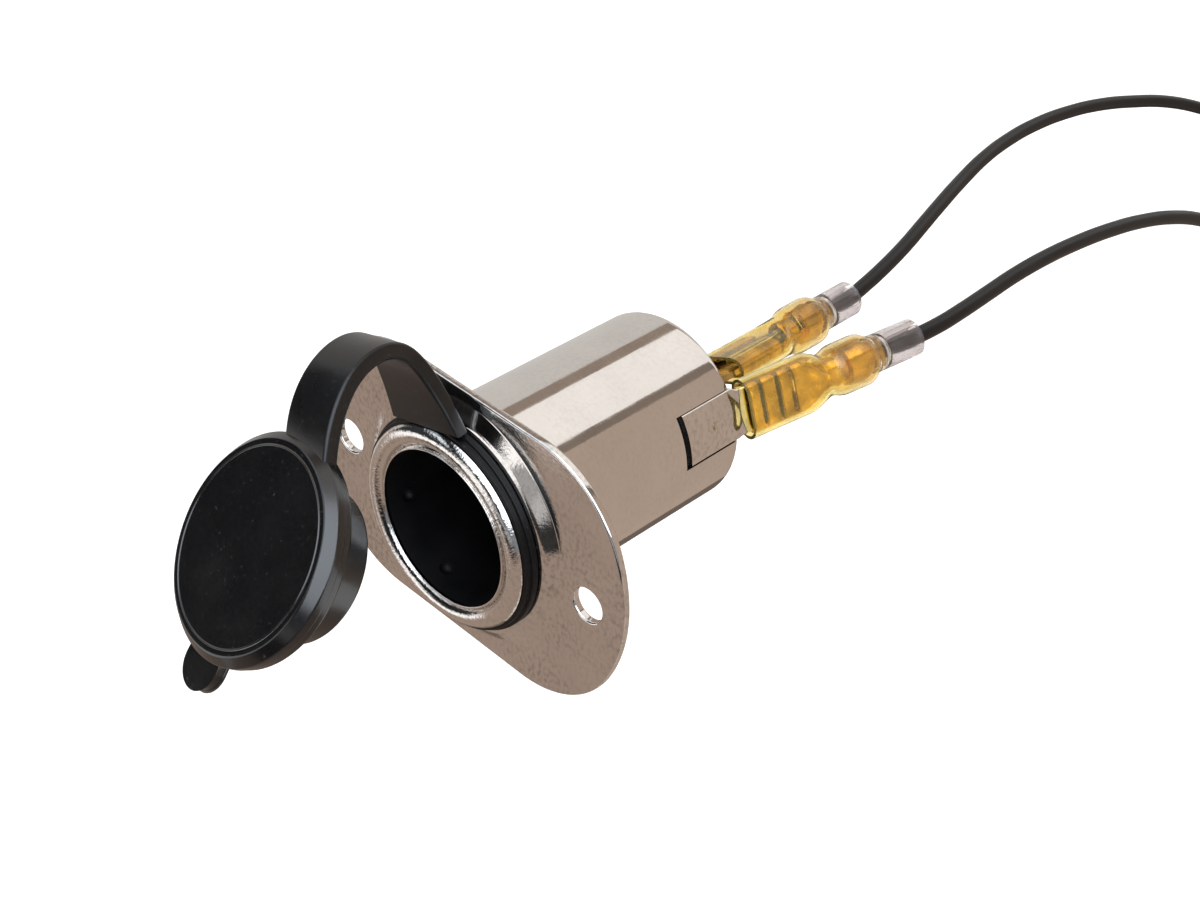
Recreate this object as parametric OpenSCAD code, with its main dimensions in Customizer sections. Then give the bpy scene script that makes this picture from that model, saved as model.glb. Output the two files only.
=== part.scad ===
// Flush-mounted 12 volt power socket with an oblong flange and a captive rubber cap.
// +Y runs back along the barrel, +Z is up. The origin is on the barrel's axis,
// in the plane of the flange's back face, which lies on the panel.

/* [Flange plate] */
// Thickness of the plate's sheet steel
plate_t = 1.1; // [0.8:0.1:1.6]
// Radius of the plate's rounded ends
plate_end_r = 23.5; // [20:0.1:26]
// Radius of the corners between ends and flanks
plate_corner_r = 14.9; // [10:0.1:16]
// Width of the flat border between the boss and a straight flank
flank_w = 0.75; // [0.5:0.05:3]
// Distance from the boss to the middle of a screw hole
hole_out = 3.5; // [3:0.1:8]
// Distance from the middle of a screw hole to the plate's tip
hole_edge = 5.8; // [4:0.1:9]
// Diameter of the screw holes
hole_d = 4.6; // [3:0.1:5.4]
// Width of the boss's slope outside the rubber ring's seat
boss_slope_w = 3.2; // [2:0.1:5]
// Height of the boss above the plate, at the seat of the rubber ring
boss_h = 1.2; // [0.8:0.1:1.6]

/* [Barrel] */
// Wall of the barrel's steel tube
barrel_wall = 0.8; // [0.5:0.05:1.0]
// Height of the rolled lip above the barrel's wall
lip_over = 0.4; // [0.2:0.05:1]
// Depth of the rolled lip along the axis
lip_t = 1.05; // [0.9:0.05:1.6]
// Fall of the lip's domed front to its outer bead
lip_fall = 0.15; // [0.1:0.05:0.3]
// Thickness of the lip's turned-in front
lip_curl_t = 0.85; // [0.6:0.05:0.9]
// Radius of the rounded edge between the barrel's wall and its bottom
barrel_round = 1.4; // [1:0.1:2]
// Length of the slot that holds the ground blade's strip
slot_len = 10.6; // [9:0.1:12]
// Open gap in front of the strip
slot_gap = 1.0; // [0.5:0.1:2]

/* [Bore] */
// Diameter of the bore that takes the plug
bore_d = 21.0; // [20.8:0.1:21.6]
// Wall of the moulded liner round the bore
liner_wall = 1.88; // [1.5:0.01:3]
// Depth of the bore from the lip to its floor
bore_depth = 33.15; // [28:0.05:40]
// Thickness of the liner's floor
floor_t = 2.6; // [2:0.1:4]
// Number of round dimples in the bore's wall
dimple_count = 6; // [3:1:8]
// Diameter of one dimple at the wall
dimple_d = 2.0; // [1:0.1:2.4]
// Depth of the dimples behind the lip
dimple_setback = 4.05; // [3:0.05:6]

/* [Contacts] */
// Length of the ground band in the bore
band_len = 8.0; // [5:0.1:10]
// Distance from the band to the bore's floor
band_setback = 2.6; // [2.2:0.1:4]
// Relief of the bore's wall behind the band
rear_relief = 0.25; // [0.1:0.05:0.5]
// Thickness of the spring metal
band_t = 0.5; // [0.3:0.05:0.6]
// Opening in the ground band, in degrees
band_open = 24; // [10:1:40]
// Diameter of the centre contact
contact_d = 7.2; // [6.5:0.1:9]
// Thickness of the centre contact's rim
contact_t = 0.7; // [0.5:0.05:1]
// Diameter of the rivet's shank
rivet_d = 3.0; // [2.4:0.1:3.4]
// Thickness of the toothed lock washer
washer_t = 0.5; // [0.4:0.05:0.8]

/* [Blades] */
// Width of the blade terminals
blade_w = 6.3; // [6.2:0.05:6.4]
// Thickness of the blade terminals
blade_t = 0.8; // [0.7:0.05:0.85]
// Turn of the ground blade round the barrel, from the top towards +X
ground_at = 67.5; // [40:0.5:110]
// Angle at which the ground blade leans out
ground_lean = 13.5; // [8:0.5:16]
// Turn of the centre blade about the axis
centre_turn = -25; // [-60:1:20]
// Distance from the barrel's end to the centre blade's tip
centre_reach = 19.1; // [16:0.1:24]
// How far a blade goes into its receptacle
blade_in = 7.8; // [6:0.1:8]

/* [Rear insulator] */
// Thickness of the rear insulator's disc
insulator_t = 1.8; // [1.4:0.1:3]
// Depth of the space for the rivet and washer
rear_space = 2.6; // [2.3:0.1:4]
// Height of the insulator's tower above its disc
tower_h = 5.0; // [4.6:0.1:7]
// Diameter of the insulator's tower
tower_d = 13.2; // [12.8:0.1:15]

/* [Receptacles and sleeves] */
// Width of the receptacle over its rolled edges
recept_w = 7.1; // [7:0.05:7.4]
// Thickness of the receptacle over its rolled edges
recept_t = 2.6; // [2.4:0.05:2.8]
// Width of the insulating sleeve's flat end
sleeve_w = 8.4; // [8.3:0.1:9.5]
// Thickness of the insulating sleeve's flat end
sleeve_t = 4.0; // [3.9:0.1:4.8]
// Wall of the insulating sleeve
sleeve_wall = 0.45; // [0.3:0.05:0.5]
// Length of the sleeve's flat end
sleeve_flat = 10.6; // [9.6:0.1:12]
// Overall length of the sleeve
sleeve_len = 28.5; // [27:0.1:31]
// Diameter of the sleeve's neck behind the flat end
sleeve_neck_d = 6.0; // [5.6:0.1:6.6]
// Diameter of the bulge over the crimp
sleeve_bulge_d = 7.2; // [6.8:0.1:8]
// Diameter of the sleeve's tail
sleeve_tail_d = 5.2; // [4.8:0.1:5.6]
// Clearance of the wire in the thick-walled tail
tail_play = 0.3; // [0.2:0.05:0.5]
// Diameter of the metal grip ring round the wire inside the tail
crimp_d = 4.2; // [3.4:0.1:4.4]

/* [Leads] */
// Diameter of the insulated wire
wire_d = 2.3; // [1.8:0.1:2.6]
// Diameter of the tinned strands at the bare end
strand_d = 1.2; // [0.8:0.1:1.4]
// Length of the stripped end
strip_len = 6.0; // [4:0.5:10]

/* [Rubber ring and strap] */
// Height of the rubber ring above the barrel's wall
ring_over = 1.25; // [1:0.05:2]
// Height of the step in the ring's front, beside the lip
ring_step_h = 0.4; // [0.2:0.05:0.6]
// Thickness of the ring along the axis
ring_t = 1.7; // [1.5:0.1:2.2]
// Depth of the step in the ring's front
ring_step = 0.75; // [0.4:0.05:1]
// Running clearance of the ring round the barrel
ring_play = 0.08; // [0.04:0.01:0.1]
// Width of the strap at its middle
strap_w = 7.8; // [6:0.1:9]
// Width of the strap where it flares into ring and cap
strap_flare_w = 10; // [9:0.1:11]
// Thickness of the strap
strap_t = 2.0; // [1.6:0.1:2.2]

/* [Cap] */
// Inset of the cap's rim from the lip's outer edge
cap_inset = 0.15; // [0:0.05:1]
// Thickness of the cap's disc
cap_t = 3.4; // [3:0.1:4]
// Width of the rim round the flat face
cap_rim_w = 1.9; // [1.2:0.1:3]
// Depth of the bevel round the face
cap_bevel = 1.0; // [0.6:0.1:1.4]
// Break of the cap's edges
cap_break = 0.4; // [0.2:0.05:0.6]
// Radial clearance between the cap's plug and the bore
plug_play = 0.7; // [0.65:0.05:1]
// Length of the plug behind the disc
plug_len = 6.5; // [5:0.1:6.6]
// Taper of the plug, from its root to its end
plug_taper = 0.6; // [0.4:0.05:1]
// Wall of the hollow plug
plug_wall = 1.9; // [1.5:0.1:2.5]
// Width of the thumb tab
tab_w = 5.6; // [4:0.1:8]
// Reach of the thumb tab past the cap's rim
tab_over = 3.5; // [3:0.1:6]
// Thickness of the thumb tab
tab_t = 1.5; // [1:0.1:2]
// Angle by which the cap stands open
cap_open = 39.5; // [20:0.5:79]
// Turn of the strap from the top towards -X
strap_at = 17.5; // [0:0.5:45]
// Height of the strap's flexing point above the rubber ring
flex_rise = 21.9; // [20:0.1:25]

/* [Hidden] */
$fn = 96;
face_gap = 0.05;
slide_gap = 0.02;
liner_gap = 0.07;
seat_border = 0.1;
eps = 0.01;

// Heights along the axis, from the panel face forward
plate_front = -plate_t;
seat_front = plate_front - boss_h;
ring_back = seat_front - face_gap;
ring_front = ring_back - ring_t;
lip_back = ring_front - face_gap;
lip_front = lip_back - lip_t;
liner_front = lip_front + lip_curl_t;

// Heights along the axis, from the lip back
bore_floor = lip_front + bore_depth;
base_back = bore_floor + floor_t;
disc_front = base_back + rear_space;
barrel_end = disc_front + insulator_t + barrel_wall;
band_end = bore_floor - band_setback;
band_front = band_end - band_len;
slot_front = barrel_end - slot_len;

// Radii of the nested pieces, from the bore outwards
bore_r = bore_d / 2;
liner_r = bore_r + liner_wall;
barrel_in = liner_r + liner_gap;
barrel_r = barrel_in + barrel_wall;
lip_r = barrel_r + lip_over;
ring_in = barrel_r + ring_play;
ring_r = barrel_r + ring_over;
ring_step_r = ring_r - ring_step_h;
seat_r = ring_r + seat_border;
boss_r = seat_r + boss_slope_w;
cap_r = lip_r - cap_inset;
plug_r = bore_r - plug_play;
plug_end_r = plug_r - plug_taper;

// The plate spans boss, flanks, screw holes and tips
plate_w = 2 * (boss_r + flank_w);
hole_x = boss_r + hole_out;
plate_tip = hole_x + hole_edge;

// The plate's outline: corner circles tangent to the end arcs and the flanks
end_x = plate_tip - plate_end_r;
corner_z = plate_w / 2 - plate_corner_r;
corner_run = sqrt(pow(plate_end_r - plate_corner_r, 2) - corner_z * corner_z);
corner_x = end_x + corner_run;
end_half_angle = atan2(corner_z, corner_run);

// Blades and connectors
strip_w = blade_w + 0.7;
strip_front = slot_front + slot_gap;
ground_mid_r = barrel_r - blade_t / 2;
ground_out = 1.1;
tongue_w = 5;
centre_tip = barrel_end + centre_reach;
foot_back = base_back + blade_t;
foot_r = 4.5;
riser_z = foot_r - blade_t / 2;
rivet_head_r = rivet_d / 2 + 0.9;
crimp_front = 12.6;
crimp_end = 22.0;
bulge_at = 17.3;

// Cap and strap, in the plane in which the strap bends
cap_back = lip_front - face_gap;
cap_face_y = cap_back - cap_t;
plug_end = cap_back + plug_len;
flex_y = lip_front + face_gap;
flex_up = ring_r + flex_rise;
strap_root = [ring_back - ring_t / 2 - 0.1, ring_r - 1.3];
strap_rise = 10.3;
strap_fall = 16.8;
strap_hold = cap_r - 0.3;
strap_sink = 2.1;
strap_drift = [-1.6, 1.8];
strap_steps = 16;
tab_skew = -9;
tab_lift = 0.6;

// Routes of the two leads, from the crimp through the sleeve's tail to the bare end.
// They leave straight, sag under their own weight and hang down towards their ends
ground_route = [
    [16.9, 58.4, 7.0], [18.3, 64.2, 7.5], [18.8, 70, 7.5], [18.7, 76, 7.4], [18.3, 83, 7.2],
    [17.9, 90, 7], [17.6, 99, 6.4], [17.6, 108, 5.5], [17.7, 118, 4], [18, 128, 2],
    [18.6, 138, -0.7], [19.5, 147, -4], [20.6, 156, -8.5], [21.8, 164, -14.5],
    [23, 170.5, -22], [24, 175, -30.5], [24.8, 178, -39.5], [25.2, 179.5, -49]
];
positive_route = [
    [0, 69.2, 0], [0, 75.6, 0], [-0.6, 80.5, 0.1], [-1.7, 87, 0.3], [-3.2, 94, 0.5],
    [-5, 101, 0.7], [-7, 108.5, 0.8], [-9.5, 118, 0.7], [-11.8, 128, 0.5],
    [-13.4, 138, 0], [-14.2, 148, -0.7], [-14.2, 158, -1.7], [-13.4, 168, -3],
    [-11.8, 178, -4.8], [-9.4, 188, -7], [-6.4, 197, -10], [-3, 205, -13.5], [0.5, 212, -17.5]
];
wire_sides = 8;

chrome = [0.78, 0.76, 0.74];
brass = [0.86, 0.68, 0.28];
black = [0.06, 0.06, 0.07];
amber = [0.95, 0.72, 0.35, 0.6];
tin = [0.7, 0.7, 0.68];

// Lays a profile of [radius, height] or a stack along the barrel's axis
module along_barrel(from = 0) {
    translate([0, from, 0]) rotate([-90, 0, 0]) children();
}

// A ring of rectangular section round the barrel's axis
module ring(r_in, r_out, from, to) {
    along_barrel() rotate_extrude() translate([r_in, from]) square([r_out - r_in, to - from]);
}

// Turns what stands on the top of the barrel to the ground blade's place
module at_ground() {
    rotate([0, ground_at, 0]) children();
}

// A bar across the top of the barrel, centred on X
module top_bar(w, y0, y1, z0, z1) {
    translate([-w / 2, y0, z0]) cube([w, y1 - y0, z1 - z0]);
}

module plate_outline() {
    for (side = [-1, 1]) scale([side, 1]) {
        intersection() {
            translate([end_x, 0]) circle(plate_end_r, $fn = 180);
            polygon([
                [end_x, 0],
                [end_x + plate_w, plate_w * tan(end_half_angle)],
                [end_x + plate_w, -plate_w * tan(end_half_angle)]
            ]);
        }
        for (up = [-1, 1]) translate([corner_x, up * corner_z]) circle(plate_corner_r, $fn = 180);
    }
    square([2 * corner_x, plate_w], center = true);
    square([2 * (corner_x + plate_corner_r * cos(end_half_angle)), 2 * corner_z], center = true);
}

// Half the boss in section: a flat seat, then one convex arc down to the plate
module boss_profile() {
    arc_r = (boss_slope_w * boss_slope_w + boss_h * boss_h) / (2 * boss_h);
    translate([barrel_r + slide_gap, 0]) square([seat_r - barrel_r - slide_gap, -seat_front]);
    intersection() {
        translate([seat_r, -seat_front - arc_r]) circle(arc_r, $fn = 180);
        translate([seat_r - eps, 0]) square([boss_slope_w + 1, -seat_front]);
    }
}

// The stamped flange plate, its boss pressed up out of the sheet and hollow behind
module flange_plate() {
    color(chrome) difference() {
        union() {
            rotate([90, 0, 0]) linear_extrude(plate_t) plate_outline();
            rotate([90, 0, 0]) rotate_extrude() boss_profile();
        }
        ring(0, boss_r - 1.4 * plate_t, seat_front + plate_t, eps);
        ring(0, barrel_r + slide_gap, seat_front - 1, 1);
        for (side = [-1, 1]) translate([side * hole_x, 1, 0])
            rotate([90, 0, 0]) cylinder(h = plate_t + 2, d = hole_d);
    }
}

// The lip: a domed front over a round outer bead, turned in to the bore
module lip_profile() {
    bead_r = (lip_t - lip_fall) / 2;
    bead_at = lip_r - bead_r;
    mid_r = (bore_r + lip_r) / 2;
    dome_r = (pow(bead_at - mid_r, 2) + lip_fall * lip_fall) / (2 * lip_fall);
    translate([bead_at, lip_back - bead_r]) circle(bead_r);
    intersection() {
        translate([mid_r, lip_front + dome_r]) circle(dome_r, $fn = 180);
        translate([bore_r, lip_front]) square([bead_at - bore_r, lip_curl_t]);
    }
    translate([barrel_in, liner_front - 0.3]) square([barrel_wall, 1]);
}

// The bottom corner of the drawn cup, cut from a ring by a smaller one inside it
module corner_profile(r, edge, end) {
    translate([r - edge, end - edge]) circle(edge);
    translate([0, liner_front]) square([r, end - edge - liner_front]);
    translate([0, liner_front]) square([r - edge, end - liner_front]);
}

// The barrel: a drawn steel cup, its front rolled out and then in over the liner
module barrel() {
    inner_round = barrel_round - barrel_wall;
    color(chrome) difference() {
        along_barrel() rotate_extrude() {
            lip_profile();
            difference() {
                corner_profile(barrel_r, barrel_round, barrel_end);
                corner_profile(barrel_in, inner_round, barrel_end - barrel_wall);
            }
        }
        ring(0, tower_d / 2 + slide_gap, disc_front, barrel_end + 1);
        at_ground() top_bar(strip_w + 0.3, slot_front, barrel_end + 1, barrel_in - 1, barrel_r + 2);
    }
}

// The moulded liner: the bore's wall and floor, with dimples and the ground band's recess
module liner() {
    color(black) difference() {
        ring(0, liner_r, liner_front, base_back);
        ring(0, bore_r, liner_front - 1, bore_floor);
        ring(0, bore_r + band_t + eps, band_front - face_gap, band_end + face_gap);
        ring(0, bore_r + rear_relief, band_end, bore_floor);
        ring(0, rivet_d / 2 + slide_gap, bore_floor - 1, base_back + 1);
        at_ground() top_bar(tongue_w + 0.4, band_end - 2, band_end - 1, bore_r, liner_r + 1);
        for (i = [0 : dimple_count - 1])
            rotate([0, 14.5 + i * 360 / dimple_count, 0])
                translate([0, lip_front + dimple_setback, bore_r - 0.2]) sphere(d = dimple_d);
    }
}

// The ground band: a split ring of spring metal with a tongue out to the barrel
module ground_contact() {
    color(brass) {
        difference() {
            ring(bore_r, bore_r + band_t, band_front, band_end);
            at_ground() rotate([0, 180, 0]) rotate([90, 0, 0]) translate([0, 0, -band_end - 1])
                linear_extrude(band_len + 2) polygon([
                    [0, 0], [2 * bore_r * tan(band_open / 2), 2 * bore_r],
                    [-2 * bore_r * tan(band_open / 2), 2 * bore_r]
                ]);
        }
        at_ground() intersection() {
            top_bar(tongue_w, band_end - 1.5 - band_t / 2, band_end - 1.5 + band_t / 2,
                bore_r + band_t / 2, barrel_in);
            rotate([0, -ground_at, 0]) ring(bore_r, barrel_in - slide_gap, band_front, band_end);
        }
    }
}

// The ground blade: a curved strip flush in the barrel's slot, bent out into a flat blade
module ground_blade() {
    color(chrome) at_ground() difference() {
        union() {
            intersection() {
                ring(barrel_in, barrel_r, strip_front, barrel_end + 0.3);
                top_bar(strip_w, strip_front, barrel_end + 0.3, 0, barrel_r + 1);
            }
            translate([0, barrel_end, ground_mid_r]) rotate([ground_lean, 0, 0])
                blade_shape(-0.2, ground_out + blade_in);
        }
        translate([0, barrel_end - 4.2, barrel_r + 0.85]) sphere(d = 2.4);
    }
}

// A flat blade with a chamfered tip and a detent hole, lying along Y
module blade_shape(from, to) {
    tip = 1.0;
    difference() {
        translate([0, 0, -blade_t / 2]) linear_extrude(blade_t) polygon([
            [-blade_w / 2, from], [blade_w / 2, from], [blade_w / 2, to - tip],
            [blade_w / 2 - tip, to], [-blade_w / 2 + tip, to], [-blade_w / 2, to - tip]
        ]);
        translate([0, to - 3.9, -blade_t]) cylinder(h = 2 * blade_t, d = 1.7);
    }
}

// The centre contact: a turned brass button with a low dome, on the bore's floor
module centre_contact() {
    r = contact_d / 2;
    color(brass) difference() {
        along_barrel() rotate_extrude() polygon([
            [0, bore_floor], [r, bore_floor], [r, bore_floor - contact_t],
            [r - 0.3, bore_floor - contact_t - 0.2], [rivet_head_r + 0.2, bore_floor - contact_t - 0.4],
            [0, bore_floor - contact_t - 0.4]
        ]);
        ring(0, rivet_d / 2 + slide_gap, bore_floor - contact_t - 2, bore_floor + 1);
    }
}

// The rivet through contact, liner, blade and washer, clenched behind the washer
module centre_rivet() {
    head_front = bore_floor - contact_t - 0.4;
    tail = foot_back + washer_t;
    color(tin) along_barrel() rotate_extrude() {
        translate([0, head_front - 0.7]) square([rivet_d / 2, tail - head_front + 0.7]);
        intersection() {
            translate([0, head_front + 3.4]) circle(4.2);
            translate([0, head_front - 1]) square([rivet_head_r, 1]);
        }
        polygon([[0, tail], [rivet_head_r, tail], [rivet_head_r - 0.4, tail + 0.7], [0, tail + 0.7]]);
    }
}

// The lock washer, with teeth cut round its rim
module lock_washer() {
    r = rivet_head_r + 0.8;
    teeth = 12;
    color(tin) difference() {
        ring(rivet_d / 2 + slide_gap, r, foot_back, foot_back + washer_t);
        for (i = [0 : teeth - 1]) rotate([0, i * 360 / teeth, 0])
            top_bar(0.45, foot_back - 1, foot_back + 2, r - 0.6, r + 1);
    }
}

// The centre blade: a riveted foot, a riser, a joggle back to the axis and the blade
module centre_blade() {
    h = blade_t / 2;
    run = tower_h - 1.6;
    y0 = barrel_end - 1.2;
    color(brass) rotate([0, centre_turn, 0]) {
        difference() {
            union() {
                along_barrel(base_back) cylinder(h = blade_t, r = foot_r);
                top_bar(blade_w, base_back, foot_back, 0, riser_z + h);
                translate([blade_w / 2, 0, 0]) rotate([0, -90, 0]) linear_extrude(blade_w)
                    polygon([
                        [riser_z - h, base_back], [riser_z + h, base_back], [riser_z + h, y0 + 0.3],
                        [h, y0 + run + 0.3], [h, y0 + run + 1], [-h, y0 + run + 1],
                        [-h, y0 + run], [riser_z - h, y0]
                    ]);
            }
            ring(0, rivet_d / 2 + slide_gap, base_back - 1, foot_back + 1);
        }
        blade_shape(y0 + run + 1, centre_tip);
    }
}

// The rear insulator: a moulded cup in the barrel's end, with a tower for the centre blade
module rear_insulator() {
    slot_t = blade_t + 0.2;
    slot_w = blade_w + 0.3;
    disc_back = barrel_end - barrel_wall;
    color(black) difference() {
        union() {
            ring(liner_r - 1.5, liner_r, base_back, disc_front + eps);
            ring(0, liner_r, disc_front, disc_back - 0.8);
            ring(0, liner_r - 0.8, disc_front, disc_back);
            ring(0, tower_d / 2, disc_back - eps, barrel_end + tower_h);
        }
        rotate([0, centre_turn, 0]) {
            top_bar(slot_w, disc_front - 1, barrel_end + tower_h - 1, -slot_t / 2, riser_z + slot_t / 2);
            top_bar(slot_w, disc_front, barrel_end + tower_h + 1, -slot_t / 2, slot_t / 2);
        }
    }
}

// The rubber ring round the barrel, stepped down at the front beside the lip
module cap_ring() {
    color(black) {
        ring(ring_in, ring_step_r, ring_front, ring_back);
        ring(ring_in, ring_r, ring_front + ring_step, ring_back);
    }
}

// Puts a shape in the strap's plane: X across the strap, Z away from the axis
module strap_plane() {
    rotate([0, -strap_at, 0]) children();
}

// Swings a shape about the strap's flexing point
module swing(angle) {
    translate([0, flex_y, flex_up]) rotate([-angle, 0, 0]) translate([0, -flex_y, -flex_up])
        children();
}

function swung(p, angle) = [
    flex_y + (p[0] - flex_y) * cos(angle) + (p[1] - flex_up) * sin(angle),
    flex_up - (p[0] - flex_y) * sin(angle) + (p[1] - flex_up) * cos(angle)
];
function bezier(p, t) = pow(1 - t, 3) * p[0] + 3 * t * pow(1 - t, 2) * p[1]
    + 3 * t * t * (1 - t) * p[2] + pow(t, 3) * p[3];
function unit(v) = v / norm(v);

strap_end = swung([cap_face_y + strap_sink, strap_hold], cap_open);
strap_lead = swung([cap_face_y + strap_sink, strap_hold + strap_fall], cap_open);
strap_curve = [strap_root, strap_root + [0, strap_rise], strap_lead, strap_end];

// Half the strap's width: widest at both ends, narrow at the middle
function strap_half(t) = (strap_w + (strap_flare_w - strap_w) * pow(abs(2 * t - 1), 3)) / 2;

// One cross-section of the strap, an eight-sided outline with rounded edges
function strap_section(t) =
    let (
        c = bezier(strap_curve, t),
        d = unit(bezier(strap_curve, min(1, t + 0.01)) - bezier(strap_curve, max(0, t - 0.01))),
        n = [-d[1], d[0]],
        w = strap_half(t),
        h = strap_t / 2,
        x = strap_drift[0] + (strap_drift[1] - strap_drift[0]) * t
    )
    [for (q = [[-w, -h / 2], [-w + h / 2, -h], [w - h / 2, -h], [w, -h / 2],
               [w, h / 2], [w - h / 2, h], [-w + h / 2, h], [-w, h / 2]])
        [x + q[0], c[0] + n[0] * q[1], c[1] + n[1] * q[1]]];

// A closed skin over rings of points with the same number of corners
module skin(rings) {
    n = len(rings[0]);
    last = len(rings) - 1;
    polyhedron(
        points = [for (r = rings) for (p = r) p],
        faces = concat(
            [[for (i = [0 : n - 1]) i]],
            [for (k = [0 : last - 1]) for (i = [0 : n - 1])
                [k * n + i, (k + 1) * n + i, (k + 1) * n + (i + 1) % n, k * n + (i + 1) % n]],
            [[for (i = [n - 1 : -1 : 0]) last * n + i]]
        ),
        convexity = 4
    );
}

// The strap, moulded between ring and cap
module cap_strap() {
    color(black) difference() {
        strap_plane() skin([for (i = [0 : strap_steps]) strap_section(i / strap_steps)]);
        ring(0, ring_r + slide_gap, ring_front - strap_t, ring_back + strap_t);
        strap_plane() swing(cap_open) along_barrel(cap_face_y - strap_t)
            cylinder(h = cap_t + 2 * strap_t, r = cap_r + 0.1);
    }
}

// The cap's disc, bevelled round its face, with a thumb tab at its foot
module cap() {
    r = cap_r;
    tab_mid = cap_r + tab_over - tab_w / 2;
    color(black) strap_plane() swing(cap_open) {
        along_barrel() rotate_extrude() polygon([
            [0, cap_face_y], [r - cap_rim_w, cap_face_y], [r - cap_break, cap_face_y + cap_bevel],
            [r, cap_face_y + cap_bevel + cap_break], [r, cap_back - cap_break],
            [r - cap_break, cap_back], [0, cap_back]
        ]);
        rotate([0, tab_skew, 0]) translate([0, cap_back - tab_lift, 0]) rotate([90, 0, 0])
            linear_extrude(tab_t) {
                translate([0, -tab_mid]) circle(d = tab_w);
                translate([-tab_w / 2, -tab_mid]) square([tab_w, tab_mid - plug_r - cap_rim_w]);
            }
    }
}

// The cap's hollow plug, moulded on the disc's back: its side tapers to its end
module cap_plug() {
    hollow_r = plug_r - plug_wall;
    color(black) strap_plane() swing(cap_open) along_barrel() rotate_extrude() polygon([
        [hollow_r, cap_back], [plug_r, cap_back], [plug_end_r, plug_end - cap_break],
        [plug_end_r - cap_break, plug_end], [hollow_r, plug_end]
    ]);
}

// Puts a connector, drawn along Y from its mouth, on its blade
module on_ground_blade() {
    at_ground() translate([0, barrel_end, ground_mid_r]) rotate([ground_lean, 0, 0])
        translate([0, ground_out, 0]) children();
}

module on_centre_blade() {
    rotate([0, centre_turn, 0]) translate([0, centre_tip - blade_in, 0]) children();
}

// A flat outline with round sides, standing across Y at a height
module flat_tube(w, t, from, to) {
    translate([0, to, 0]) rotate([90, 0, 0]) linear_extrude(to - from) {
        square([w - t, t], center = true);
        for (side = [-1, 1]) translate([side * (w - t) / 2, 0]) circle(d = t);
    }
}

// The receptacle: a floor and two rolled edges round the blade, a neck, and the wire crimp
module terminal() {
    fit_w = blade_w + 0.16;
    fit_t = blade_t + 0.1;
    front = 0.6;
    shoulder = blade_in + 1.0;
    roll_gap = 1.6;
    slots = [2.2, 4.8, 7.0];
    slot_w = 0.7;
    neck_w = 4.4;
    color(brass) {
        difference() {
            flat_tube(recept_w, recept_t, front, shoulder);
            top_bar(fit_w, front - 1, blade_in + 0.4, -fit_t / 2, fit_t / 2);
            top_bar(roll_gap, front - 1, shoulder + 1, -recept_t, 0);
            for (y = slots) top_bar(recept_w - recept_t, y, y + slot_w, 0.2, recept_t);
        }
        translate([0, shoulder, 0]) intersection() {
            top_bar(neck_w, -eps, crimp_front - shoulder, -0.5, recept_t / 2);
            along_barrel(-eps) cylinder(h = crimp_front - shoulder, r1 = 3.2, r2 = 1.7);
        }
        along_barrel(crimp_front - 0.1) cylinder(h = crimp_end - crimp_front + 0.1, d = crimp_d - 0.8);
        ring(0, crimp_d / 2 + 0.5, bulge_at - 2, bulge_at + 2);
        ring(0, crimp_d / 2, crimp_end - 2.2, crimp_end);
    }
}

// The sleeve's outside, or its inside when shrunk by its wall
module sleeve_form(less, from, to) {
    funnel_end = sleeve_flat + 2.2;
    bulge_r = sleeve_bulge_d / 2 - less;
    neck_r = sleeve_neck_d / 2 - less;
    tail_r = sleeve_tail_d / 2 - less;
    flat_tube(sleeve_w - 2 * less, sleeve_t - 2 * less, from, sleeve_flat);
    hull() {
        flat_tube(sleeve_w - 2 * less, sleeve_t - 2 * less, sleeve_flat - 0.1, sleeve_flat, $fn = 32);
        along_barrel(funnel_end) cylinder(h = 0.1, r = neck_r, $fn = 32);
    }
    along_barrel() rotate_extrude() polygon([
        [0, funnel_end], [neck_r, funnel_end], [bulge_r, funnel_end + 2.4],
        [bulge_r, bulge_at + 2.2], [tail_r, bulge_at + 3.8], [tail_r, to], [0, to]
    ]);
}

// The insulating sleeve: a flat mouth, a funnel, a bulge over the crimp and a thick round tail
module sleeve() {
    color(amber) difference() {
        sleeve_form(0, 0, sleeve_len);
        sleeve_form(sleeve_wall, -1, crimp_end + 0.3);
        along_barrel(crimp_end) cylinder(h = sleeve_len, r = wire_d / 2 + tail_play);
    }
}

// A wire swept through the route: a ring of corners across the route at each point
function between(p, i) = unit(p[min(i + 1, len(p) - 1)] - p[max(i - 1, 0)]);
function smooth(p) = [
    for (i = [0 : len(p) - 2]) for (t = [0, 0.5])
        let (a = p[max(i - 1, 0)], b = p[i], c = p[i + 1], d = p[min(i + 2, len(p) - 1)])
        t == 0 ? b : (9 * (b + c) - a - d) / 16,
    p[len(p) - 1]
];

module wire(route) {
    path = smooth(route);
    skin([
        for (i = [0 : len(path) - 1])
            let (
                d = between(path, i),
                u = unit(cross(d, [1, 0, 0])),
                v = cross(d, u)
            )
            [for (k = [0 : wire_sides - 1])
                let (a = k * 360 / wire_sides)
                path[i] + wire_d / 2 * (cos(a) * u + sin(a) * v)]
    ]);
}

// The tinned strands past the end of the insulation, along the wire's last direction
module bare_end(route) {
    path = smooth(route);
    last = len(path) - 1;
    d = between(path, last);
    translate(path[last] + face_gap * d) rotate([0, acos(d[2]), atan2(d[1], d[0])])
        cylinder(h = strip_len, d = strand_d);
}

module ground_lead() {
    color(black) wire(ground_route);
}

module positive_lead() {
    color(black) wire(positive_route);
}

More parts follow.
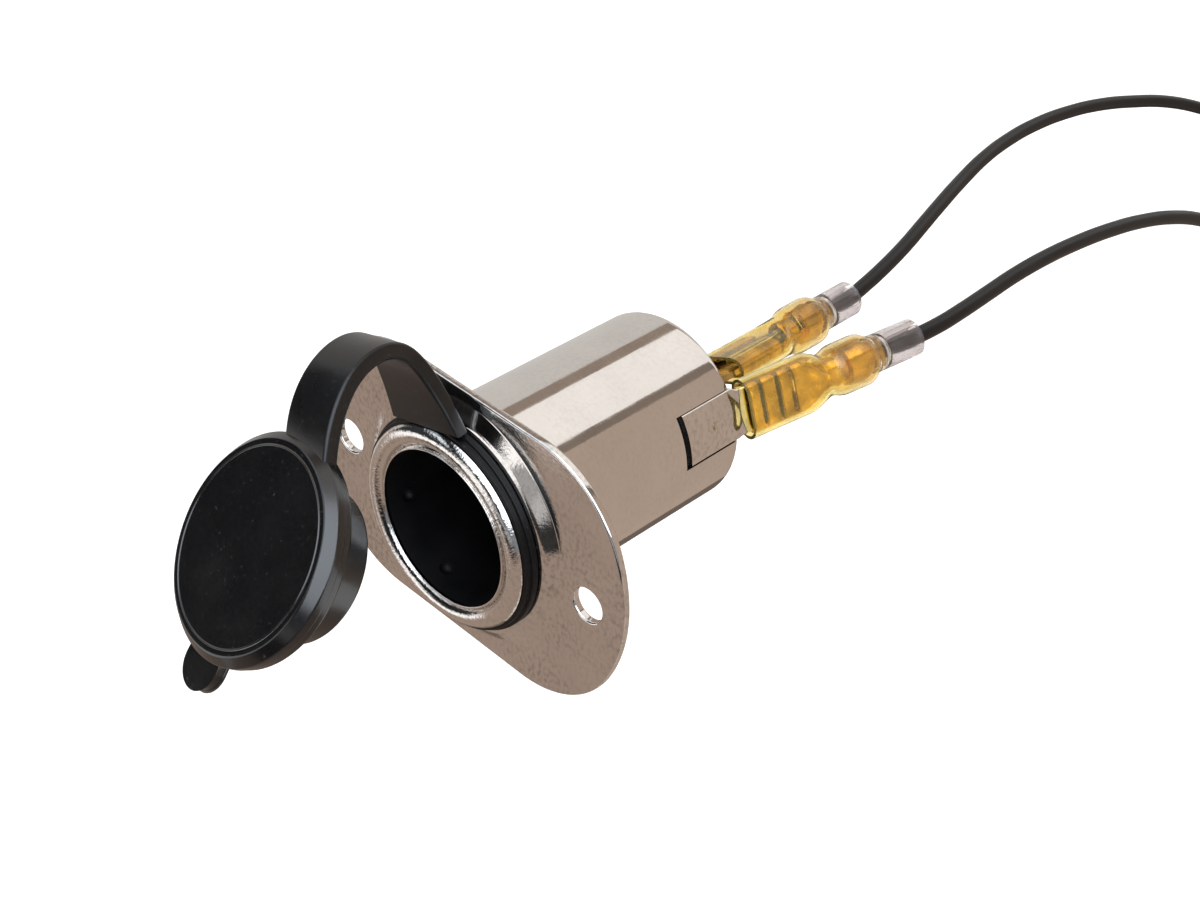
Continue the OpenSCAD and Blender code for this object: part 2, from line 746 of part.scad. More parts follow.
flange_plate();
barrel();
liner();
ground_contact();
ground_blade();
centre_contact();
centre_rivet();
lock_washer();
centre_blade();
rear_insulator();
cap_ring();
cap_strap();
cap();
cap_plug();
on_ground_blade() terminal();  // ground_terminal
on_ground_blade() sleeve();  // ground_sleeve
on_centre_blade() terminal();  // positive_terminal
on_centre_blade() sleeve();  // positive_sleeve
ground_lead();
color(tin) bare_end(ground_route);  // ground_lead_end
positive_lead();
color(tin) bare_end(positive_route);  // positive_lead_end
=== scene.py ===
from math import asin, atan2, cos, hypot, pi, radians, sin, sqrt, tan

import bpy
from mathutils import Matrix, Vector


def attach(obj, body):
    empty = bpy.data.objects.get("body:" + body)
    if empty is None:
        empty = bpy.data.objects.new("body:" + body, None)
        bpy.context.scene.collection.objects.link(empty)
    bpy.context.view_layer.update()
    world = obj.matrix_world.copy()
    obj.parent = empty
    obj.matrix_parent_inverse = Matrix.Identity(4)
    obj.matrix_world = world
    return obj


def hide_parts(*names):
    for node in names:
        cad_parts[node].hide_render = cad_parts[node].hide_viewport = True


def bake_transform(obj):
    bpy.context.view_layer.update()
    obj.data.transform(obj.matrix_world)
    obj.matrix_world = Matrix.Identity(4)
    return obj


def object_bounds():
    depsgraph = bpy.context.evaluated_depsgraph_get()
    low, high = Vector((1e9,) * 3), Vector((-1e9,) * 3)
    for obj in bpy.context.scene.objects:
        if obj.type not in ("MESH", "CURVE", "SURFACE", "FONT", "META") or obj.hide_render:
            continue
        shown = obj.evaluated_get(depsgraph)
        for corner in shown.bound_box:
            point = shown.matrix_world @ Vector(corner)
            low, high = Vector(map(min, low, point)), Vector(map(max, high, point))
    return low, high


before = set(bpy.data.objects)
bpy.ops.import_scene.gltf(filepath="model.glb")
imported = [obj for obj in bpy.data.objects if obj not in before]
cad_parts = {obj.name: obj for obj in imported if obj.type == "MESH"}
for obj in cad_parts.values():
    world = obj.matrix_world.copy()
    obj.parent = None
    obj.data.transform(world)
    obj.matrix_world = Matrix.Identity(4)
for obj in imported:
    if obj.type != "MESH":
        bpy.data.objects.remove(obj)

cad_box = [list(map(float, corner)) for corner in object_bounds()]

# Camera
# It stands to the right of the socket, above it and in front of the flange, and is rolled a little.
# The place is in millimetres in the socket's own frame, and the lens is for a 36 mm wide sensor.
MM = 0.001
CAMERA_AT = (125.16, -121.71, 144.98)
CAMERA_TURN = 40.81
CAMERA_TILT = 37.49
CAMERA_ROLL = 5.4
SENSOR_W = 36.0
FRAME_W = 1200.0
FOCAL_PIXELS = 1843.4

camera_data = bpy.data.cameras.new("camera")
camera_data.sensor_width = SENSOR_W
camera_data.lens = FOCAL_PIXELS * SENSOR_W / FRAME_W
camera_data.clip_start = 0.01
camera_data.clip_end = 20
camera = bpy.data.objects.new("camera", camera_data)
bpy.context.collection.objects.link(camera)
camera.matrix_world = (
    Matrix.Translation(Vector(CAMERA_AT) * MM)
    @ Matrix.Rotation(radians(CAMERA_TURN), 4, "Z")
    @ Matrix.Rotation(radians(90 - CAMERA_TILT), 4, "X")
    @ Matrix.Rotation(radians(CAMERA_ROLL), 4, "Z")
)
bpy.context.scene.camera = camera
bpy.context.scene.view_settings.view_transform = "Standard"

# Leads
# Two single-core copper wires in black plastic insulation, 2.3 mm over the insulation.
# Each is crimped in its connector, passes out through the sleeve's tail and ends stripped.
WIRE_D = 2.3
STRAND_D = 0.42
STRAND_COUNT = 6
STRANDS_D = 1.2
STRIP_LEN = 6.0
STRAND_TURNS = 0.8
GROUND_ROUTE = [
    (16.9, 58.4, 7.0), (18.3, 64.2, 7.5), (18.8, 70, 7.5), (18.7, 76, 7.4), (18.3, 83, 7.2),
    (17.9, 90, 7), (17.6, 99, 6.4), (17.6, 108, 5.5), (17.7, 118, 4), (18, 128, 2),
    (18.6, 138, -0.7), (19.5, 147, -4), (20.6, 156, -8.5), (21.8, 164, -14.5),
    (23, 170.5, -22), (24, 175, -30.5), (24.8, 178, -39.5), (25.2, 179.5, -49),
]
POSITIVE_ROUTE = [
    (0, 69.2, 0), (0, 75.6, 0), (-0.6, 80.5, 0.1), (-1.7, 87, 0.3), (-3.2, 94, 0.5),
    (-5, 101, 0.7), (-7, 108.5, 0.8), (-9.5, 118, 0.7), (-11.8, 128, 0.5),
    (-13.4, 138, 0), (-14.2, 148, -0.7), (-14.2, 158, -1.7), (-13.4, 168, -3),
    (-11.8, 178, -4.8), (-9.4, 188, -7), (-6.4, 197, -10), (-3, 205, -13.5), (0.5, 212, -17.5),
]


def new_material(name):
    """A material with only a Principled shader, its nodes, and a function that links two sockets."""
    material = bpy.data.materials.new(name)
    material.use_nodes = True
    nodes = material.node_tree.nodes
    return material, nodes, nodes["Principled BSDF"], material.node_tree.links.new


def noise(nodes, link, size, detail=3.0, stretch=(1, 1, 1)):
    """Noise whose patches are about size millimetres across, in the part's own space."""
    place = nodes.new("ShaderNodeTexCoord")
    scale = nodes.new("ShaderNodeMapping")
    scale.inputs["Scale"].default_value = stretch
    texture = nodes.new("ShaderNodeTexNoise")
    texture.inputs["Scale"].default_value = 1 / (size * MM)
    texture.inputs["Detail"].default_value = detail
    link(place.outputs["Object"], scale.inputs["Vector"])
    link(scale.outputs["Vector"], texture.inputs["Vector"])
    return texture.outputs["Fac"]


def ramp(nodes, link, value, stops):
    """A colour ramp over a value: each stop is a place and a grey level or a colour."""
    node = nodes.new("ShaderNodeValToRGB")
    elements = node.color_ramp.elements
    while len(elements) < len(stops):
        elements.new(0.5)
    for element, (place, colour) in zip(elements, stops):
        grey = isinstance(colour, (int, float))
        element.position = place
        element.color = (colour, colour, colour, 1) if grey else (*colour, 1)
    link(value, node.inputs["Fac"])
    return node.outputs["Color"]


def bump(nodes, link, shader, height, depth, strength=1.0, under=None):
    """Bump of a depth in millimetres, over another bump if one is given."""
    node = nodes.new("ShaderNodeBump")
    node.inputs["Distance"].default_value = depth * MM
    node.inputs["Strength"].default_value = strength
    link(height, node.inputs["Height"])
    if under:
        link(under, node.inputs["Normal"])
    link(node.outputs["Normal"], shader.inputs["Normal"])
    return node.outputs["Normal"]


def insulation_finish():
    material, nodes, shader, link = new_material("wire_insulation")
    broad = noise(nodes, link, 9)
    fine = noise(nodes, link, 0.35, 5)
    dull, bright = (0.006, 0.006, 0.007), (0.011, 0.011, 0.012)
    shader.inputs["Specular IOR Level"].default_value = 0.35
    link(ramp(nodes, link, broad, [(0.3, dull), (0.7, bright)]), shader.inputs["Base Color"])
    link(ramp(nodes, link, broad, [(0.3, 0.34), (0.7, 0.46)]), shader.inputs["Roughness"])
    bump(nodes, link, shader, fine, 0.02, 0.5)
    return material


def strand_finish():
    material, nodes, shader, link = new_material("tinned_strands")
    shader.inputs["Metallic"].default_value = 1.0
    broad = noise(nodes, link, 0.8)
    dull, bright = (0.46, 0.43, 0.39), (0.74, 0.71, 0.67)
    link(ramp(nodes, link, broad, [(0.35, dull), (0.6, bright)]), shader.inputs["Base Color"])
    link(ramp(nodes, link, broad, [(0.3, 0.22), (0.7, 0.42)]), shader.inputs["Roughness"])
    bump(nodes, link, shader, noise(nodes, link, 0.12), 0.01, 0.5)
    return material


def wire_curve(name, points, diameter, material):
    """A round wire along one smooth spline through the points, in millimetres."""
    curve = bpy.data.curves.new(name, "CURVE")
    curve.dimensions = "3D"
    curve.bevel_depth = diameter / 2 * MM
    curve.bevel_resolution = 6
    curve.resolution_u = 8
    curve.use_fill_caps = True
    spline = curve.splines.new("BEZIER")
    spline.bezier_points.add(len(points) - 1)
    for knot, point in zip(spline.bezier_points, points):
        knot.co = Vector(point) * MM
        knot.handle_left_type = knot.handle_right_type = "AUTO"
    wire = bpy.data.objects.new(name, curve)
    bpy.context.collection.objects.link(wire)
    curve.materials.append(material)
    return wire


def strand_points(route, index):
    """One strand of the stripped end: it winds round the wire's last direction."""
    start = Vector(route[-1])
    along = (start - Vector(route[-2])).normalized()
    side = along.cross(Vector((1, 0, 0))).normalized()
    up = along.cross(side)
    spread = (STRANDS_D - STRAND_D) / 2 if index else 0.0
    points = []
    for step in range(9):
        share = step / 8
        turn = 2 * pi * (index / STRAND_COUNT + STRAND_TURNS * share)
        open_up = spread * (1 - 0.12 * sin(3 * index) * share ** 3)
        points.append(
            start + along * (STRIP_LEN * share - 0.6) + open_up * (cos(turn) * side + sin(turn) * up)
        )
    return points


insulation = insulation_finish()
tinned = strand_finish()
for side, route in (("ground", GROUND_ROUTE), ("positive", POSITIVE_ROUTE)):
    lead = wire_curve(side + "_wire", route, WIRE_D, insulation)
    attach(lead, "socket")
    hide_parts(side + "_lead")
    strands = [
        wire_curve(f"{side}_strand_{i}", strand_points(route, i), STRAND_D, tinned)
        for i in range(STRAND_COUNT + 1)
    ]
    for strand in strands:
        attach(strand, "socket")
    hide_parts(side + "_lead_end")

# Flange plate
# Stamped from 1.1 mm steel sheet with a convex boss pressed forward round the barrel, then
# nickel-chrome plated over a fine grain. Two screw holes are punched with rounded rims.
PLATE_LEN = 54.2
PLATE_W = 37.1
PLATE_T = 1.1
PLATE_END_R = 23.5
PLATE_CORNER_R = 14.9
PLATE_EDGE = 0.32
HOLE_SPACING = 42.6
HOLE_R = 2.3
HOLE_RIM = 0.3
BOSS_H = 1.2
BOSS_FOOT = 0.4
BOSS_ROLL = 1.94
BOSS_TILT = 31.0
SEAT_R = 14.6
PLATE_BORE_R = 13.27
HOLLOW_R, HOLLOW_Y = 16.26, -1.2
SHARP = radians(32)


def piece(name, points, faces, material, sharp=SHARP):
    """A mesh object from points in millimetres, shaded smooth apart from its sharp edges."""
    mesh = bpy.data.meshes.new(name)
    mesh.from_pydata([Vector(p) * MM for p in points], [], faces)
    mesh.polygons.foreach_set("use_smooth", [True] * len(mesh.polygons))
    mesh.materials.append(material)
    mesh.update()
    obj = bpy.data.objects.new(name, mesh)
    bpy.context.collection.objects.link(obj)
    shade(obj, sharp)
    return obj


def shade(obj, sharp=SHARP):
    """Keeps flat faces flat and curved ones smooth, with creases only at sharp edges."""
    obj.data.set_sharp_from_angle(angle=sharp)
    if "even_normals" not in obj.modifiers:
        even = obj.modifiers.new("even_normals", "WEIGHTED_NORMAL")
        even.keep_sharp = True


def settle(obj):
    """Turns an object's modifiers into plain mesh."""
    graph = bpy.context.evaluated_depsgraph_get()
    obj.data = bpy.data.meshes.new_from_object(obj.evaluated_get(graph))
    obj.modifiers.clear()


def cut(obj, tool, operation="DIFFERENCE"):
    """Cuts a tool's shape out of an object, or joins it on, and deletes the tool."""
    for modifier in list(obj.modifiers):
        obj.modifiers.remove(modifier)
    boolean = obj.modifiers.new("cut", "BOOLEAN")
    boolean.operation = operation
    boolean.solver = "EXACT"
    boolean.object = tool
    tool.modifiers.clear()
    settle(obj)
    bpy.data.objects.remove(tool)
    obj.data.polygons.foreach_set("use_smooth", [True] * len(obj.data.polygons))
    shade(obj)


def skin(rings, round_trip=True, ends=True):
    """Points and faces over rings of points, each ring closed, as a tube or as a closed loop of rings."""
    count, size = len(rings), len(rings[0])
    points = [p for ring in rings for p in ring]
    faces = []
    for k in range(count if round_trip else count - 1):
        after = (k + 1) % count
        for i in range(size):
            j = (i + 1) % size
            faces.append((k * size + i, after * size + i, after * size + j, k * size + j))
    if ends and not round_trip:
        faces.append(tuple(range(size)))
        faces.append(tuple((count - 1) * size + i for i in reversed(range(size))))
    return points, faces


def rounded(corners, steps=5):
    """A closed outline of (u, v, radius) corners, with an arc in place of each."""
    outline = []
    for i, (u, v, radius) in enumerate(corners):
        corner = Vector((u, v))
        if not radius:
            outline.append((u, v))
            continue
        back = (Vector(corners[i - 1][:2]) - corner).normalized()
        on = (Vector(corners[(i + 1) % len(corners)][:2]) - corner).normalized()
        half = back.angle(on) / 2
        centre = corner + (back + on).normalized() * radius / sin(half)
        first = corner + back * radius / tan(half) - centre
        last = corner + on * radius / tan(half) - centre
        sweep = pi - 2 * half
        for k in range(steps + 1):
            t = k / steps
            arm = (first * sin((1 - t) * sweep) + last * sin(t * sweep)) / sin(sweep)
            outline.append(tuple(centre + arm))
    return outline


def lathe(name, profile, material, steps=160, sharp=SHARP):
    """Turns a closed outline of (radius, y) points round the barrel's axis."""
    rings = []
    for k in range(steps):
        a = 2 * pi * k / steps
        rings.append([(r * sin(a), y, r * cos(a)) for r, y in profile])
    return piece(name, *skin(rings), material, sharp)


def plated(name, grain=0.25, grain_depth=0.004, specks=0.0, streaks=0.0):
    """Bright plated steel: near-white metal, faint haze, a fine grain, dark specks and streaks."""
    material, nodes, shader, link = new_material(name)
    shader.inputs["Metallic"].default_value = 1.0
    tint = (0.86, 0.835, 0.81)
    haze = noise(nodes, link, 7, 4)
    colour = ramp(nodes, link, haze, [(0.3, tuple(0.93 * c for c in tint)), (0.7, tint)])
    if specks:
        fine = ramp(nodes, link, noise(nodes, link, 0.55, 8, (1, 1, 0.7)), [(0.45, 0.0), (0.7, 1.0)])
        where = ramp(nodes, link, noise(nodes, link, 9, 3), [(0.35, 0.2), (0.65, 1.0)])
        amount = nodes.new("ShaderNodeMath")
        amount.operation = "MULTIPLY"
        link(fine, amount.inputs[0])
        link(where, amount.inputs[1])
        share = nodes.new("ShaderNodeMath")
        share.operation = "MULTIPLY"
        share.inputs[1].default_value = specks
        link(amount.outputs["Value"], share.inputs[0])
        stain = nodes.new("ShaderNodeMix")
        stain.data_type = "RGBA"
        stain.inputs["B"].default_value = (0.26, 0.235, 0.22, 1)
        link(share.outputs["Value"], stain.inputs["Factor"])
        link(colour, stain.inputs["A"])
        colour = stain.outputs["Result"]
    link(colour, shader.inputs["Base Color"])
    link(ramp(nodes, link, haze, [(0.35, 0.05), (0.7, 0.11)]), shader.inputs["Roughness"])
    under = bump(nodes, link, shader, noise(nodes, link, 5, 2), 0.03, 0.35)
    if streaks:
        drawn = noise(nodes, link, 0.45, 4, (1, 0.03, 1))
        under = bump(nodes, link, shader, drawn, streaks, 1.0, under)
    bump(nodes, link, shader, noise(nodes, link, grain, 4), grain_depth, 1.0, under)
    return material


def outline_reach(angle):
    """How far the plate's outline lies from the axis, at an angle from +X towards +Z."""
    c, s = abs(cos(angle)), abs(sin(angle))
    end_x = PLATE_LEN / 2 - PLATE_END_R
    corner_z = PLATE_W / 2 - PLATE_CORNER_R
    corner_run = sqrt((PLATE_END_R - PLATE_CORNER_R) ** 2 - corner_z ** 2)
    corner_x = end_x + corner_run
    end = end_x * c + sqrt(PLATE_END_R ** 2 - (end_x * s) ** 2)
    if atan2(end * s, end * c - end_x) <= atan2(corner_z, corner_run):
        return end
    if s > 0 and PLATE_W / 2 / s * c <= corner_x:
        return PLATE_W / 2 / s
    nearest = corner_x * c + corner_z * s
    return nearest + sqrt(PLATE_CORNER_R ** 2 - corner_x ** 2 - corner_z ** 2 + nearest ** 2)


def plate_section(reach):
    """The plate's section from the barrel out to its edge, front first, then back along the rear."""
    tilt = radians(BOSS_TILT)
    roll = [
        (SEAT_R + BOSS_ROLL * sin(tilt * k / 8), -PLATE_T - BOSS_H + BOSS_ROLL * (1 - cos(tilt * k / 8)), 0)
        for k in range(1, 9)
    ]
    boss_r = roll[-1][0] + (-PLATE_T - roll[-1][1]) / tan(tilt)
    return rounded([
        (PLATE_BORE_R, -PLATE_T - BOSS_H, 0.15), (SEAT_R, -PLATE_T - BOSS_H, 0), *roll,
        (boss_r, -PLATE_T, BOSS_FOOT),
        (reach, -PLATE_T, PLATE_EDGE), (reach, 0, PLATE_EDGE),
        (HOLLOW_R, 0, 0.2), (HOLLOW_R, HOLLOW_Y, 0.3), (PLATE_BORE_R, HOLLOW_Y, 0.15),
    ])


def hole_cutter(x):
    """A round punch that flares at both faces of the plate."""
    flare = [(HOLE_R + HOLE_RIM * (1 - cos(radians(a))), HOLE_RIM * sin(radians(a)))
             for a in range(90, -1, -15)]
    front = [(r, -PLATE_T + HOLE_RIM - h) for r, h in flare]
    back = [(r, h - HOLE_RIM) for r, h in reversed(flare)]
    side = [(flare[0][0], -PLATE_T - 1), *front, *back, (flare[0][0], 1)]
    rings = []
    for r, y in side:
        rings.append([
            (x + r * cos(2 * pi * k / 72), y, r * sin(2 * pi * k / 72)) for k in range(72)
        ])
    return piece("punch", *skin(rings, round_trip=False), plate_finish)


plate_finish = plated("plate_plating", 0.3, 0.008, specks=0.6)
PLATE_STEPS = 360
plate_rings = []
for k in range(PLATE_STEPS):
    a = 2 * pi * k / PLATE_STEPS
    plate_rings.append([(r * cos(a), y, -r * sin(a)) for r, y in plate_section(outline_reach(a))])
plate = piece("plate", *skin(plate_rings), plate_finish)
for side in (-1, 1):
    cut(plate, hole_cutter(side * HOLE_SPACING / 2))
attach(plate, "socket")
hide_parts("flange_plate")

# Barrel
# A drawn steel cup, plated bright, with its open front rolled out and over into a domed lip
# that holds liner, rubber ring and flange together. A slot near its bottom takes the ground blade.
BARREL_R = 13.25
BARREL_WALL = 0.8
BARREL_END = 35.8
BARREL_ROUND = 1.4
BORE_R = 10.5
LIP_R = 13.65
LIP_FRONT, LIP_BACK = -5.15, -4.1
LIP_SIDE = -4.25
LIP_BEAD, LIP_BEAD_Y = 0.12, -4.68
LIP_GROOVE = 0.3
LINER_FRONT = -4.3
TOWER_HOLE_R = 6.62
GROUND_AT = 67.5
SLOT_W = 7.3
SLOT_FRONT = 25.2


def lip_arc(steps=28):
    """The lip in section: a thin bead at the bore, a narrow groove, then a round dome."""
    bead = [(BORE_R + LIP_BEAD * (1 - cos(radians(a))), LIP_BEAD_Y - LIP_BEAD * sin(radians(a)), 0)
            for a in range(0, 181, 20)]
    groove = BORE_R + 2 * LIP_BEAD
    inner = groove + LIP_GROOVE
    middle, half = (inner + LIP_R) / 2, (LIP_R - inner) / 2
    rise = LIP_SIDE - LIP_FRONT
    arc = (half ** 2 + rise ** 2) / (2 * rise)
    reach = asin(half / arc)
    dome = []
    for k in range(steps + 1):
        a = reach * (2 * k / steps - 1)
        dome.append((middle + arc * sin(a), LIP_FRONT + arc * (1 - cos(a)), 0))
    return bead + [(groove + 0.01, LIP_SIDE + 0.05, 0)] + dome


def box_points(x0, x1, y0, y1, z0, z1):
    return [(x, y, z) for x in (x0, x1) for y in (y0, y1) for z in (z0, z1)]


BOX_FACES = [(0, 1, 3, 2), (4, 6, 7, 5), (0, 4, 5, 1), (2, 3, 7, 6), (0, 2, 6, 4), (1, 5, 7, 3)]


def turned(points, degrees_round):
    """Turns points round the barrel's axis, from the top towards +X."""
    c, s = cos(radians(degrees_round)), sin(radians(degrees_round))
    return [(x * c + z * s, y, z * c - x * s) for x, y, z in points]


barrel_finish = plated("barrel_plating", 0.5, 0.002, specks=0.12, streaks=0.004)
lip_finish = plated("lip_plating", 0.4, 0.05, specks=0.25)
barrel_profile = rounded([
    (BARREL_R, LIP_BACK, 0.1), (BARREL_R, BARREL_END, BARREL_ROUND), (TOWER_HOLE_R, BARREL_END, 0.2),
    (TOWER_HOLE_R, BARREL_END - BARREL_WALL, 0.1),
    (BARREL_R - BARREL_WALL, BARREL_END - BARREL_WALL, BARREL_ROUND - BARREL_WALL),
    (BARREL_R - BARREL_WALL, LIP_BACK, 0),
], 8)
barrel = lathe("barrel_cup", barrel_profile, barrel_finish, 240)
slot_tool = piece("slot_tool", turned(
    box_points(-SLOT_W / 2, SLOT_W / 2, SLOT_FRONT, BARREL_END + 1, BARREL_R - 1.8, BARREL_R + 2),
    GROUND_AT), BOX_FACES, barrel_finish)
cut(barrel, slot_tool)
lip = lathe("barrel_lip", rounded([
    *lip_arc(), (LIP_R - 0.05, LIP_BACK, 0.04), (BARREL_R - BARREL_WALL, LIP_BACK, 0),
    (BARREL_R - BARREL_WALL, LINER_FRONT, 0), (BORE_R, LINER_FRONT, 0)]), lip_finish, 240)
for part in (barrel, lip):
    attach(part, "socket")
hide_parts("barrel")

# Liner and rear insulator
# Black phenolic mouldings: the liner is the bore's wall and floor, and the insulator closes the
# cup's bottom with a tower round the centre blade. Both keep their solids and get their finish here.
def moulding_finish():
    material, nodes, shader, link = new_material("black_moulding")
    broad = noise(nodes, link, 6)
    dull, bright = (0.004, 0.004, 0.005), (0.008, 0.008, 0.009)
    shader.inputs["Specular IOR Level"].default_value = 0.18
    link(ramp(nodes, link, broad, [(0.3, dull), (0.7, bright)]), shader.inputs["Base Color"])
    link(ramp(nodes, link, broad, [(0.3, 0.42), (0.7, 0.58)]), shader.inputs["Roughness"])
    bump(nodes, link, shader, noise(nodes, link, 0.4, 5), 0.02, 0.6)
    return material


def dress(node, material):
    """Gives a solid of the frame its finish."""
    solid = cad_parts[node]
    solid.data.materials.clear()
    solid.data.materials.append(material)


moulding = moulding_finish()
dress("liner", moulding)
dress("rear_insulator", moulding)

# Contacts in the bore
# A split band of phosphor bronze grips the plug's side, and a turned brass button is riveted to
# the floor with a tinned steel rivet and a toothed washer behind. They keep their solids.
def brass_finish(name, bright, dull, rough=(0.16, 0.32)):
    material, nodes, shader, link = new_material(name)
    shader.inputs["Metallic"].default_value = 1.0
    broad = noise(nodes, link, 2.5, 5)
    link(ramp(nodes, link, broad, [(0.36, dull), (0.62, bright)]), shader.inputs["Base Color"])
    link(ramp(nodes, link, broad, [(0.3, rough[1]), (0.7, rough[0])]), shader.inputs["Roughness"])
    bump(nodes, link, shader, noise(nodes, link, 0.3, 4), 0.012, 0.7)
    return material


def tin_finish():
    material, nodes, shader, link = new_material("tinned_steel")
    shader.inputs["Metallic"].default_value = 1.0
    broad = noise(nodes, link, 1.5, 5)
    dull, bright = (0.5, 0.49, 0.47), (0.72, 0.71, 0.69)
    link(ramp(nodes, link, broad, [(0.35, dull), (0.65, bright)]), shader.inputs["Base Color"])
    link(ramp(nodes, link, broad, [(0.3, 0.36), (0.7, 0.22)]), shader.inputs["Roughness"])
    bump(nodes, link, shader, noise(nodes, link, 0.25, 4), 0.01, 0.6)
    return material


contact_brass = brass_finish("contact_brass", (0.7, 0.48, 0.2), (0.45, 0.3, 0.12))
tin = tin_finish()
for node in ("ground_contact", "centre_contact", "centre_blade"):
    dress(node, contact_brass)
for node in ("centre_rivet", "lock_washer"):
    dress(node, tin)

# Ground blade
# A strip of plated steel that lies flush in the barrel's slot, curved like the barrel and pressed
# in at one point, then bent out at the bottom into a flat 6.3 mm blade; its detent hole is not drawn.
STRIP_FRONT = 26.2
STRIP_W = 7.0
BLADE_W = 6.3
BLADE_T = 0.8
GROUND_LEAN = 13.5
BLADE_OUT = 8.9
PRESS_Y = 31.6
PRESS_R = 1.2
PRESS_UP = 0.85


def strip_path(steps=56):
    """Stations along the blade: how far along, its y, its height, its lean and its width."""
    lean = radians(GROUND_LEAN)
    straight = BARREL_END - STRIP_FRONT
    total = straight + BLADE_OUT
    stations = []
    for k in range(steps + 1):
        s = total * k / steps
        out = max(0.0, s - straight)
        bend = min(1.0, max(0.0, (s - straight + 0.6) / 1.2))
        y = STRIP_FRONT + min(s, straight) + out * cos(lean)
        z = BARREL_R - BLADE_T / 2 + out * sin(lean)
        width = STRIP_W + (BLADE_W - STRIP_W) * min(1.0, max(0.0, (s - straight + 0.3) / 0.6))
        tip = max(0.0, s - (total - 1.0))
        stations.append((y, z, lean * bend, width - 1.6 * tip, 1 - bend))
    return stations


def blade_ring(y, z, lean, width, curve):
    """One cross-section of the blade, its edges a little rounded, curved as much as the barrel is."""
    half, thick = width / 2, BLADE_T / 2
    edge = 0.12
    upper = [(-half + edge + (width - 2 * edge) * i / 24, thick) for i in range(25)]
    section = [(-half, thick - edge), *upper, (half, thick - edge), (half, edge - thick)]
    section += [(x, -thick) for x, _ in reversed(upper)] + [(-half, edge - thick)]
    ring = []
    for x, h in section:
        drop = (BARREL_R - sqrt(BARREL_R ** 2 - x ** 2)) * curve
        if h > 0:
            off = hypot(x, y - PRESS_Y)
            if off < PRESS_R:
                h -= max(0.0, sqrt(PRESS_R ** 2 - off ** 2) - PRESS_UP)
        ring.append((x, y - h * sin(lean), z - drop + h * cos(lean)))
    return ring


strip_rings = [turned(blade_ring(*station), GROUND_AT) for station in strip_path()]
blade_finish = plated("blade_plating", 0.4, 0.003, specks=0.35)
blade = piece("ground_strip", *skin(strip_rings, round_trip=False), blade_finish)
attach(blade, "socket")
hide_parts("ground_blade")

# Rubber ring
# Moulded black rubber in one shot with strap and cap. It turns on the barrel between lip and boss,
# with a step in its front beside the lip.
RING_IN = 13.33
RING_R = 14.5
RING_STEP_R = 14.1
RING_FRONT, RING_STEP_Y, RING_BACK = -4.05, -3.3, -2.35


def rubber_finish(name, gloss, smooth, rough):
    """Moulded black rubber: nearly black, with faint dust and a skin that is smooth to satin."""
    material, nodes, shader, link = new_material(name)
    shader.inputs["Specular IOR Level"].default_value = gloss
    broad = noise(nodes, link, 8, 4)
    dust = noise(nodes, link, 0.5, 6)
    dull, bright, dusty = (0.003, 0.003, 0.0035), (0.006, 0.006, 0.0062), (0.05, 0.05, 0.052)
    link(ramp(nodes, link, dust, [(0.3, dull), (0.66, bright), (0.76, dusty)]), shader.inputs["Base Color"])
    link(ramp(nodes, link, broad, [(0.3, smooth), (0.7, rough)]), shader.inputs["Roughness"])
    swell = bump(nodes, link, shader, noise(nodes, link, 3.0, 3), 0.02, 0.4)
    bump(nodes, link, shader, noise(nodes, link, 0.25, 5), 0.006, 0.6, swell)
    return material


ring_rubber = rubber_finish("ring_rubber", 0.2, 0.34, 0.48)
ring = lathe("rubber_ring", rounded([
    (RING_IN, RING_FRONT, 0.1), (RING_STEP_R, RING_FRONT, 0.18), (RING_STEP_R, RING_STEP_Y, 0.12),
    (RING_R, RING_STEP_Y, 0.22), (RING_R, RING_BACK, 0.2), (RING_IN, RING_BACK, 0.1)]), ring_rubber, 200)
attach(ring, "ring")
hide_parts("cap_ring")

# Cap
# A satin rubber disc with a shallow groove round its bare face, a rounded rim, a hollow plug that
# fills the bore and a round thumb tab at its foot. It stands 39.5 degrees open on its strap.
CAP_R = 13.5
CAP_FACE_R = 11.6
CAP_FACE_Y = -8.6
CAP_BACK = -5.2
PLUG_R = 9.8
PLUG_TIP_R = 9.2
PLUG_END = 1.3
PLUG_WALL = 1.9
CAP_WEB = 1.0
GROOVE_DEEP = 0.16
GROOVE_IN, GROOVE_OUT = 0.12, 0.14
RIM_STEP = 0.18
STRAP_AT = 17.5
CAP_OPEN = 39.5
FLEX_Y, FLEX_UP = -5.1, 36.4
TAB_W = 5.6
TAB_REACH = 17.0
TAB_T = 1.5
TAB_SKEW = 9.0
TAB_LIFT = 0.6
TAB_EDGE = 0.35


def in_strap_plane(points):
    """Leans the strap's upright plane from the top towards -X."""
    return turned(points, -STRAP_AT)


def swing(points, angle):
    """Swings points about the strap's flexing line, with the cap opening forward and up."""
    c, s = cos(radians(angle)), sin(radians(angle))
    return [
        (x, FLEX_Y + (y - FLEX_Y) * c + (z - FLEX_UP) * s, FLEX_UP - (y - FLEX_Y) * s + (z - FLEX_UP) * c)
        for x, y, z in points
    ]


def slab(outline, front, back, edge):
    """A flat slab over an (x, z) outline, its front and back edges rounded."""
    count = len(outline)
    rings = []
    stations = [
        (edge * (1 - sin(radians(a))), front + edge * (1 - cos(radians(a))))
        for a in range(0, 91, 18)
    ]
    stations += [(d, front + back - y) for d, y in reversed(stations)]
    for inset, y in stations:
        ring = []
        for i, (x, z) in enumerate(outline):
            before, after = outline[i - 1], outline[(i + 1) % count]
            along = Vector((after[0] - before[0], after[1] - before[1])).normalized()
            ring.append((x - along.y * inset, y, z + along.x * inset))
        rings.append(ring)
    return skin(rings, round_trip=False)


